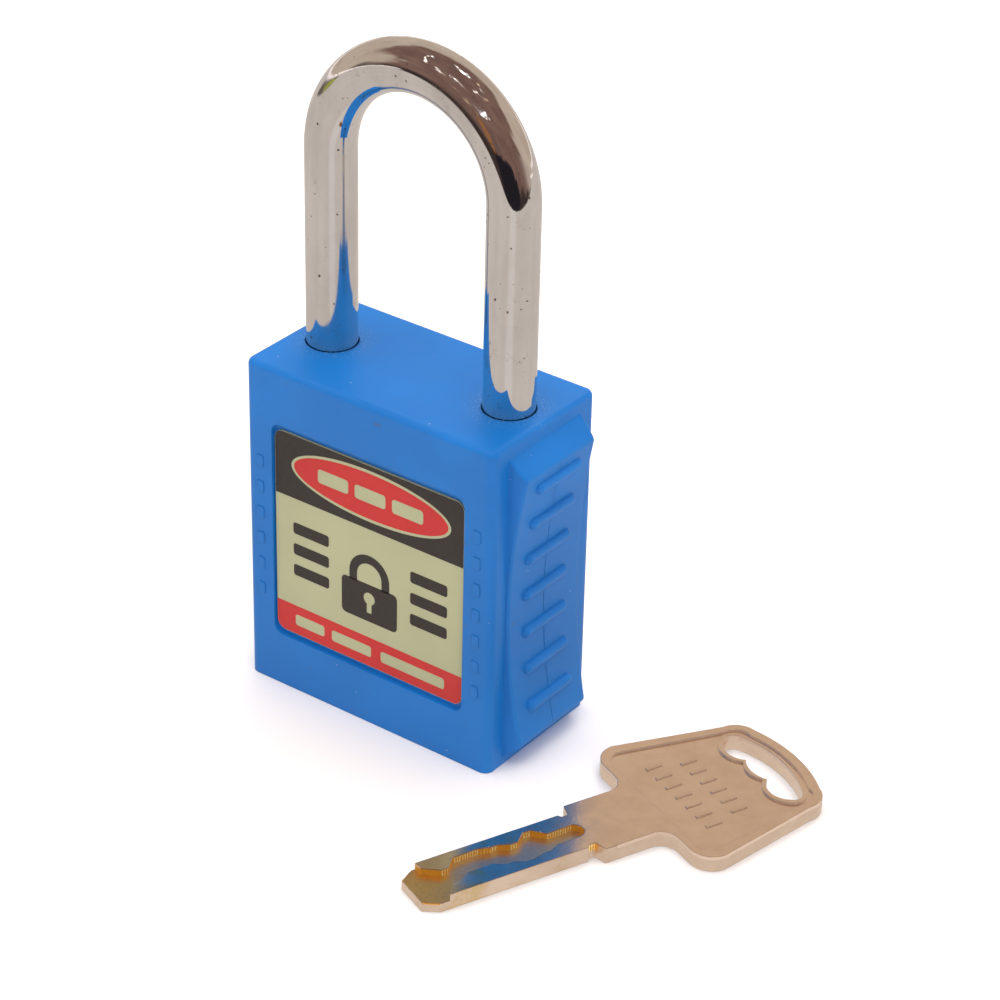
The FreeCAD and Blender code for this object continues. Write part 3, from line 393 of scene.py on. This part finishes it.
def floor_material():
    """White floor that glows far out, where the lights no longer reach, so that its edge stays white."""
    n = Nodes("floor")
    n.set("Base Color", n.mix(n.span(n.noise(6, 3), 0.3, 0.7), (0.93, 0.93, 0.93), (0.91, 0.91, 0.91)))
    n.set("Roughness", 0.8)
    n.set("Specular IOR Level", 0.2)
    far = n.add("ShaderNodeVectorMath")
    far.operation = "LENGTH"
    n.link(n.place(), far.inputs[0])
    n.set("Emission Color", (1.0, 1.0, 1.0))
    n.set("Emission Strength", n.span(far.outputs["Value"], 0.4, 1.2, 0.0, 0.9))
    return n.material


def wear(node, material):
    """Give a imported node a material."""
    mesh = frame["nodes"][node].data
    mesh.materials.clear()
    mesh.materials.append(material)


def dress_nodes():
    """Give each piece its material."""
    materials = {
        "nylon": nylon_material(),
        "shackle_chrome": chrome_material(),
        "filled_nylon": filled_nylon_material(),
        "steel": metal_material("steel", (0.62, 0.62, 0.63), (0.45, 0.45, 0.46), 0.3),
        "brass": metal_material("brass", (0.80, 0.58, 0.24), (0.62, 0.42, 0.15), 0.3),
        "key_plate": key_material(),
        "label": print_material("label", LABEL_PALE),
    }
    for part in frame["record"]["subparts"]:
        wear(part["node"], materials[part["material_slot"]])


dress_nodes()


# ---------------------------------------------------------------- the print on the labels

INK = 0.015 * MM
CORNER_STEPS = 8
BOW_STEPS = 24
OVAL_STEPS = 96


def rounded(left, low, right, high, radii):
    """Outline of a rectangle, anticlockwise from its low left corner, each corner with its radius."""
    corners = ((left, low, 180), (right, low, 270), (right, high, 0), (left, high, 90))
    points = []
    for (x, z, start), radius in zip(corners, radii):
        inward_x = radius if x == left else -radius
        inward_z = radius if z == low else -radius
        for step in range(CORNER_STEPS + 1):
            angle = math.radians(start + 90 * step / CORNER_STEPS)
            points.append((x + inward_x + radius * math.cos(angle),
                           z + inward_z + radius * math.sin(angle)))
    return points


def bar(centre, middle, length, thickness):
    """Outline of a bar with slightly rounded ends."""
    half_long, half_thick = length / 2, thickness / 2
    ends = (thickness * 0.22,) * 4
    return rounded(centre - half_long, middle - half_thick, centre + half_long, middle + half_thick, ends)


def ellipse(centre, middle, half_wide, half_high):
    """Outline of an oval."""
    turn = 2 * math.pi / OVAL_STEPS
    return [(centre + half_wide * math.cos(turn * i), middle + half_high * math.sin(turn * i))
            for i in range(OVAL_STEPS)]


def lock_sign(centre, low, size):
    """Outline of a plain padlock sign: a block, and a bow that stands on it."""
    half, block = 0.50 * size, 0.62 * size
    outer, inner = 0.36 * size, 0.22 * size
    foot = low + block - 0.02 * size
    rise = low + block + 0.12 * size
    sweep = [math.pi * i / BOW_STEPS for i in range(BOW_STEPS + 1)]
    body = rounded(centre - half, low, centre + half, low + block, (0.08 * size,) * 4)
    bow = [(centre + outer, foot)]
    bow += [(centre + outer * math.cos(a), rise + outer * math.sin(a)) for a in sweep]
    bow += [(centre - outer, foot), (centre - inner, foot)]
    bow += [(centre + inner * math.cos(a), rise + inner * math.sin(a)) for a in reversed(sweep)]
    bow += [(centre + inner, foot)]
    return [body, bow]


def keyhole(centre, middle, radius):
    """Outline of a round hole with a slot below it."""
    sweep = [math.radians(degrees) for degrees in range(-65, 246, 10)]
    eye = [(centre + radius * math.cos(a), middle + radius * math.sin(a)) for a in sweep]
    half_slot, slot_low = 0.42 * radius, middle - 2.4 * radius
    return eye + [(centre - half_slot, slot_low), (centre + half_slot, slot_low)]


def print_piece(name, outlines, layer, material, side):
    """Thin slabs of ink over a label's outer face, one for each outline, which is in millimetres."""
    mesh = bmesh.new()
    face_y = label_low.y - layer * INK
    for outline in outlines:
        corners = [mesh.verts.new((x * MM, face_y, z * MM)) for x, z in outline]
        face = mesh.faces.new(corners)
        grown = bmesh.ops.extrude_face_region(mesh, geom=[face])
        raised = [item for item in grown["geom"] if isinstance(item, bmesh.types.BMVert)]
        bmesh.ops.translate(mesh, vec=(0, -INK, 0), verts=raised)
    bmesh.ops.recalc_face_normals(mesh, faces=mesh.faces)
    if side == "back":
        half_turn = Matrix.Rotation(math.pi, 3, "Z")
        bmesh.ops.rotate(mesh, cent=(0, 0, 0), matrix=half_turn, verts=mesh.verts)
    data = bpy.data.meshes.new(name + "_" + side)
    mesh.to_mesh(data)
    mesh.free()
    data.materials.append(material)
    piece = bpy.data.objects.new(name + "_" + side, data)
    scene.collection.objects.link(piece)
    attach(piece, "lock_body")


def add_print():
    """Both labels, in millimetres: a dark head with an oval, a padlock sign between bars, a red foot."""
    dark = print_material("print_dark", LABEL_DARK)
    red = print_material("print_red", LABEL_RED)
    pale = print_material("print_pale", LABEL_PALE)
    edge, sharp, corner = 0.05, 0.01, 1.2
    left, right = label_low.x / MM + edge, label_high.x / MM - edge
    low, high = label_low.z / MM + edge, label_high.z / MM - edge
    head = rounded(left, 27.8, right, high, (sharp, sharp, corner, corner))
    foot = rounded(left, low, right, 12.3, (corner, corner, sharp, sharp))
    oval_x, oval_z = 0.35, 32.45
    oval_bars = [bar(oval_x + step, oval_z, 4.7, 1.9) for step in (-5.7, 0, 5.7)]
    sign_x, sign_low = 0.2, 14.6
    side_bars = [bar(x, z, 5.6, 1.6) for x in (-8.9, 9.3) for z in (23.6, 20.6, 17.6)]
    foot_bars = [bar(x, 10.25, length, 1.55) for x, length in ((-9.2, 4.6), (-2.6, 6.2), (6.9, 9.8))]
    for side in ("front", "back"):
        print_piece("print_head", [head], 0, dark, side)
        print_piece("print_foot", [foot], 0, red, side)
        print_piece("print_oval_rim", [ellipse(oval_x, oval_z, 12.2, 3.55)], 1, pale, side)
        print_piece("print_oval", [ellipse(oval_x, oval_z, 11.8, 3.15)], 2, red, side)
        print_piece("print_oval_bars", oval_bars, 3, pale, side)
        print_piece("print_sign", lock_sign(sign_x, sign_low, 8.6), 0, dark, side)
        print_piece("print_keyhole", [keyhole(sign_x, sign_low + 3.3, 0.85)], 1, pale, side)
        print_piece("print_bars", side_bars, 0, dark, side)
        print_piece("print_foot_bars", foot_bars, 1, pale, side)


add_print()


# ---------------------------------------------------------------- floor, lights, camera

def plain_plane(name, size_x, size_y):
    """Flat square-cornered sheet about the origin."""
    data = bpy.data.meshes.new(name)
    half_x, half_y = size_x / 2, size_y / 2
    corners = [(-half_x, -half_y, 0), (half_x, -half_y, 0), (half_x, half_y, 0), (-half_x, half_y, 0)]
    data.from_pydata(corners, [], [(0, 1, 2, 3)])
    plane = bpy.data.objects.new(name, data)
    scene.collection.objects.link(plane)
    return plane


def add_floor():
    """Pale surface under the object, wide enough to fill every view."""
    floor = plain_plane("floor", 12.0, 12.0)
    floor.location.z = -0.05 * MM
    floor.data.materials.append(floor_material())


def only_reflected(card, n, colour):
    """Make a card glow with a colour, and show in shiny surfaces and nowhere else."""
    card.visible_camera = False
    card.visible_diffuse = False
    card.visible_shadow = False
    card.visible_transmission = False
    glow = n.add("ShaderNodeEmission")
    n.link(colour, glow.inputs["Color"])
    n.link(glow.outputs["Emission"], n.tree.nodes["Material Output"].inputs["Surface"])
    card.data.materials.append(n.material)


def add_table_card():
    """Grey card under the object that the chrome reflects, with a pale streak in front of each leg."""
    card = plain_plane("table_card", 3.0, 3.0)
    card.location.z = -0.02 * MM
    n = Nodes("table_card")
    grey = n.mix(n.span(n.noise(9, 2), 0.3, 0.7), (0.70, 0.645, 0.605), (0.64, 0.59, 0.55))
    streaks = n.math("MAXIMUM", streak(n, -LEG_X, -50.6), streak(n, LEG_X, -55.0))
    only_reflected(card, n, n.mix(streaks, grey, (0.86, 0.83, 0.81)))


def streak(n, leg_x, azimuth):
    """One in a narrow fan that opens from a leg in a direction, nought elsewhere."""
    away = n.add("ShaderNodeVectorMath")
    away.operation = "SUBTRACT"
    away.inputs[1].default_value = (leg_x, 0, 0)
    n.link(n.place(), away.inputs[0])
    unit = n.add("ShaderNodeVectorMath")
    unit.operation = "NORMALIZE"
    n.link(away.outputs["Vector"], unit.inputs[0])
    near = toward(n, unit.outputs["Vector"], compass(azimuth, 0))
    return n.span(near, math.cos(math.radians(14)), 1.0, 0.0, 0.42)


def upright_card(name, size, azimuth, distance):
    """Card that stands on the floor across a line of sight from the origin."""
    card = plain_plane(name, *size)
    card.rotation_euler = (math.radians(90), 0, math.radians(azimuth + 90))
    card.location = compass(azimuth, 0) * distance
    card.location.z = size[1] / 2
    return card


def add_room_card():
    """Dark card in front of the object: the dim side of the room that the bow reflects."""
    card = upright_card("room_card", (2.0, 0.18), -47, 0.2)
    n = Nodes("room_card")
    cloud = n.noise(14, 4, 0.6)
    across, height, _ = n.split(n.place())
    wall = n.mix(n.span(cloud, 0.3, 0.7), (0.25, 0.150, 0.122), (0.17, 0.105, 0.09))
    wall = n.mix(n.span(across, 0.14, 0.50, 0.0, 1.0), wall, (0.56, 0.46, 0.40))
    foot = n.math("ADD", n.times(across, 0.12), n.span(cloud, 0.3, 0.7, -0.02, 0.02))
    foot = n.math("ADD", height, foot)
    wall = n.mix(n.span(foot, -0.045, 0.0, 0.9, 0.0), wall, (0.035, 0.026, 0.026))
    wall = n.mix(patch(n, (-0.025, -0.05), (0.115, 0.062), cloud), wall, (0.018, 0.016, 0.021))
    ember = n.times(patch(n, (-0.125, 0.035), (0.03, 0.045), cloud), 0.7)
    only_reflected(card, n, n.mix(ember, wall, (0.42, 0.17, 0.05)))


def add_clutter_card():
    """Small low card to the heel side, dark with a yellow-green end, for the left of the bow."""
    card = upright_card("clutter_card", (0.22, 0.05), -165, 0.42)
    n = Nodes("clutter_card")
    cloud = n.noise(60, 4, 0.7)
    dark = n.mix(n.span(cloud, 0.35, 0.65), (0.04, 0.035, 0.03), (0.30, 0.24, 0.19))
    green = patch(n, (0.06, 0.0), (0.05, 0.02), cloud)
    only_reflected(card, n, n.mix(green, dark, (0.42, 0.45, 0.05)))


def patch(n, centre, half, cloud):
    """One inside a ragged ellipse on a card, nought outside."""
    x, y, _ = n.split(n.place())
    reach = [n.math("POWER", n.math("DIVIDE", n.math("SUBTRACT", part, middle), size), 2)
             for part, middle, size in zip((x, y), centre, half)]
    ragged = n.math("ADD", n.math("ADD", *reach), n.span(cloud, 0.3, 0.7, -0.35, 0.35))
    return n.span(ragged, 0.8, 1.15, 1.0, 0.0)


def add_area(name, position, target, size, power):
    """Soft white light that shows in no reflection."""
    data = bpy.data.lights.new(name, "AREA")
    data.shape = "RECTANGLE"
    data.size, data.size_y = size
    data.energy = power
    light = bpy.data.objects.new(name, data)
    light.location = position
    light.rotation_mode = "QUATERNION"
    light.rotation_quaternion = (Vector(target) - Vector(position)).to_track_quat("-Z", "Y")
    light.visible_glossy = False
    scene.collection.objects.link(light)


WARM, WHITE, COOL = (1.0, 0.80, 0.50), (1.0, 0.97, 0.95), (0.86, 0.93, 1.0)
# Azimuth, elevation and radius in degrees, strength and colour of each lamp of the room.
LAMPS = (
    (-70, 31, 0.7, 7.0, COOL), (-66, 33, 1.1, 9.0, COOL), (-63, 36, 0.8, 8.0, COOL),
    (-60, 34, 0.6, 6.0, WHITE), (-57, 39, 1.1, 9.0, COOL), (-53, 42, 0.7, 7.0, COOL),
    (-50, 38, 0.5, 5.0, WHITE), (-74, 35, 0.5, 5.0, WHITE), (-88, 27, 0.8, 4.0, WARM),
    (-85, 32, 0.6, 3.5, WARM), (-80, 24, 0.5, 3.0, WARM), (-95, 34, 0.5, 3.0, WARM),
    (-90, 61, 0.9, 12.0, WHITE), (-97, 58, 0.5, 8.0, WHITE), (-82, 57, 0.5, 7.0, WHITE),
    (-86, 65, 0.4, 6.0, WARM), (-111, 51, 0.8, 12.0, WHITE), (-116, 55, 0.6, 8.0, WHITE),
    (-107, 47, 0.4, 6.0, WARM), (-133, 55, 0.8, 12.0, WHITE), (-139, 59, 0.6, 8.0, WHITE),
    (-128, 51, 0.4, 6.0, WARM), (-147, 61, 0.6, 8.0, WHITE), (-158, 64, 0.5, 5.0, WARM),
    (-169, 67, 0.7, 5.0, WHITE), (178, 70, 0.9, 5.0, WHITE), (-40, 66, 0.7, 7.0, WHITE),
    (-26, 68, 0.8, 7.0, WHITE), (-12, 62, 0.6, 5.0, WARM), (4, 61, 0.6, 5.0, WARM),
    (24, 67, 0.8, 5.0, WHITE), (50, 66, 0.9, 4.0, WARM), (75, 78, 2.0, 12.0, WHITE),
    (60, 74, 0.9, 8.0, WHITE), (100, 74, 0.9, 8.0, WHITE), (76, 70, 0.7, 6.0, COOL),
)


def add_world():
    """A room: beige walls to the sides and back, a dim brown front and ceiling, clutter and lamps."""
    n = Nodes("room", bpy.data.worlds)
    direction = n.add("ShaderNodeTexCoord").outputs["Generated"]
    up = n.split(direction)[2]
    cloud = n.noise(3.5, 4, 0.6, direction)
    dim = n.mix(n.span(cloud, 0.3, 0.7), (0.27, 0.165, 0.135), (0.19, 0.115, 0.098))
    beige = n.mix(n.span(cloud, 0.3, 0.7), (0.66, 0.56, 0.46), (0.56, 0.46, 0.375))
    front = toward(n, direction, compass(-62, 0))
    back = n.math("MAXIMUM", toward(n, direction, compass(110, 0)), 0.0)
    wobble = n.span(cloud, 0.3, 0.7, -0.05, 0.05)
    height = n.math("SUBTRACT", n.math("ADD", up, wobble), n.times(back, 0.55))
    wall = n.times(n.span(n.math("ADD", front, wobble), 0.22, 0.36, 1.0, 0.0),
                   n.span(height, 0.42, 0.56, 1.0, 0.0))
    colour = n.mix(wall, dim, beige)
    for azimuth, elevation, radius, strength, tint in LAMPS:
        near = toward(n, direction, compass(azimuth, elevation))
        mask = n.span(near, math.cos(math.radians(radius * 1.35)), math.cos(math.radians(radius * 0.75)))
        colour = n.mix(mask, colour, tuple(strength * channel for channel in tint))
    clutter = n.times(n.span(n.math("ADD", up, wobble), 0.04, 0.16, 0.85, 0.0),
                      n.span(n.math("ADD", front, wobble), -0.05, 0.15))
    colour = n.mix(clutter, colour, (0.045, 0.035, 0.032))
    background = n.tree.nodes["Background"]
    n.link(colour, background.inputs["Color"])
    background.inputs["Strength"].default_value = 1.0
    scene.world = n.material


# The camera stands here and looks back at the object, from these angles in degrees.
CAMERA_PLACE = Vector((0.211494, -0.273511, 0.234055))
CAMERA_AZIMUTH, CAMERA_ELEVATION = -53.946, 30.858
CAMERA_ROLL = math.radians(1.361)


def add_camera():
    """Camera that stands where the photograph was taken from."""
    data = bpy.data.cameras.new("camera")
    data.sensor_width = 36.0
    data.lens = 118.53
    data.clip_start = 0.01
    data.clip_end = 20.0
    camera = bpy.data.objects.new("camera", data)
    back = compass(CAMERA_AZIMUTH, CAMERA_ELEVATION)
    level = Vector((0, 0, 1)).cross(back).normalized()
    right = Matrix.Rotation(CAMERA_ROLL, 3, back) @ level
    turn = Matrix((right, back.cross(right), back)).transposed().to_4x4()
    camera.matrix_world = Matrix.Translation(CAMERA_PLACE) @ turn
    scene.collection.objects.link(camera)
    scene.camera = camera


add_floor()
add_table_card()
add_room_card()
add_clutter_card()
add_world()
add_area("top_light", (-0.05, -0.05, 0.95), (0, 0, 0.02), (1.4, 1.4), 14.0)
add_area("front_light", (-0.45, -0.75, 0.50), (0, 0, 0.03), (0.5, 0.4), 1.0)
add_area("side_light", (0.80, -0.30, 0.32), (0, 0, 0.03), (0.4, 0.4), 2.0)
add_area("back_light", (-0.30, 0.80, 0.50), (0, 0, 0.03), (0.6, 0.4), 2.5)
add_camera()
scene.view_settings.view_transform = "Standard"
